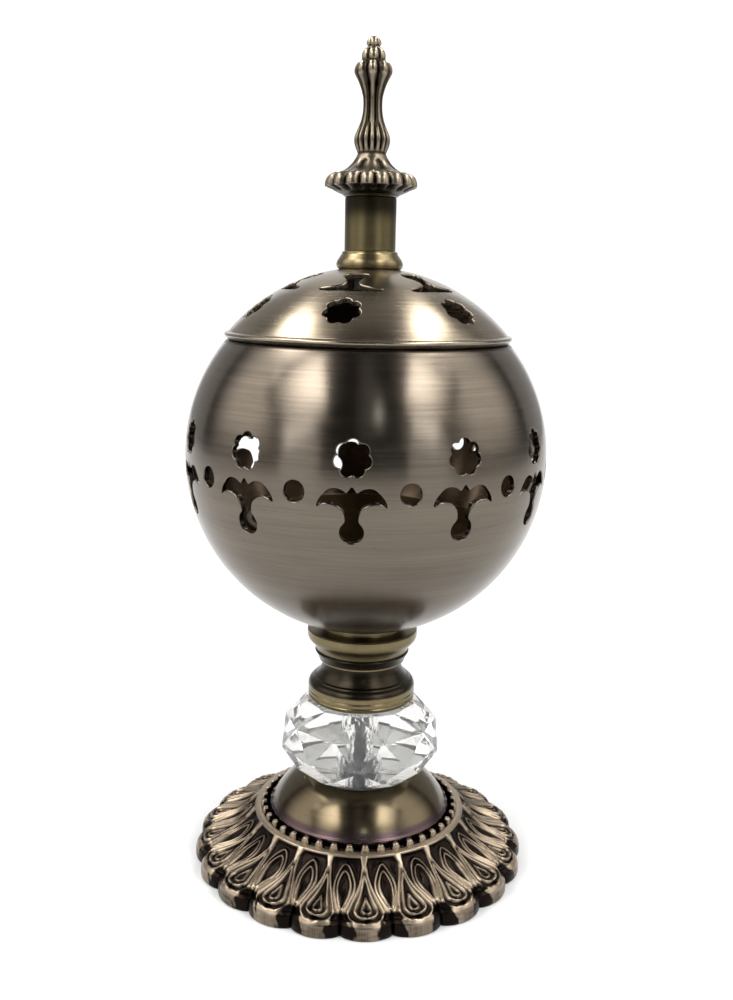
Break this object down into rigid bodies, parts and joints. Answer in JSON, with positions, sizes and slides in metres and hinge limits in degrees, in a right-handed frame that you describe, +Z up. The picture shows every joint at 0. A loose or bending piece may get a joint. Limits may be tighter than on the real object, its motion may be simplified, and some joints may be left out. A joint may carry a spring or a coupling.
{
  "type": "incense burner",
  "caption": "Table incense burner: a pierced metal ball on a cut-glass neck and lobed foot, with a lift-off pierced lid, a turned handle and a loose charcoal dish.",
  "frame": {"origin": "centre of the face it stands on", "axes": "+Z up along the stem, -Y towards the side the picture shows, +X to that view's right"},
  "size_m": [0.1, 0.1, 0.2303],
  "materials": {
    "cast_bronze": "cast, dark patina in the hollows, rubbed on the ridges",
    "antique_brass": "turned, antique brass",
    "dark_brass": "turned, blackened",
    "dish_brass": "spun, dull, heat-stained",
    "dark_nickel": "brushed round the axis, dark nickel",
    "warm_nickel": "brushed round the axis, warm nickel",
    "zinc": "zinc-plated fasteners",
    "gasket": "clear soft washer",
    "crystal": "polished cut facets"
  },
  "bodies": {
    "burner": {"foot": "cast_bronze", "foot_washer": "zinc", "foot_nut": "zinc", "base_dome": "cast_bronze", "crystal_gasket_lower": "gasket", "crystal_bead": "crystal", "crystal_gasket_upper": "gasket", "spool_ring": "antique_brass", "neck_spool": "dark_brass", "neck_ring": "dark_brass", "bowl_collar": "antique_brass", "bowl": "dark_nickel", "bowl_washer": "zinc", "bowl_nut": "zinc", "centre_rod": "zinc", "dish_stand": "antique_brass"},
    "dish": {"charcoal_dish": "dish_brass"},
    "lid": {"lid_dome": "warm_nickel", "lid_locating_ring": "antique_brass", "lid_washer": "zinc", "lid_nut": "zinc", "lid_stud": "zinc", "lid_collar": "antique_brass", "handle_tube": "antique_brass", "finial": "antique_brass"}
  },
  "joints": [
    {"name": "lid_lift", "type": "slide", "parent": "burner", "child": "lid", "axis": [0, 0, 1], "range_m": [0, 0.13]},
    {"name": "dish_lift", "type": "slide", "parent": "burner", "child": "dish", "axis": [0, 0, 1], "range_m": [0, 0.068]}
  ],
  "couplings": [
    {"joint": "dish_lift", "follows": "lid_lift", "ratio": 0.52}
  ]
}
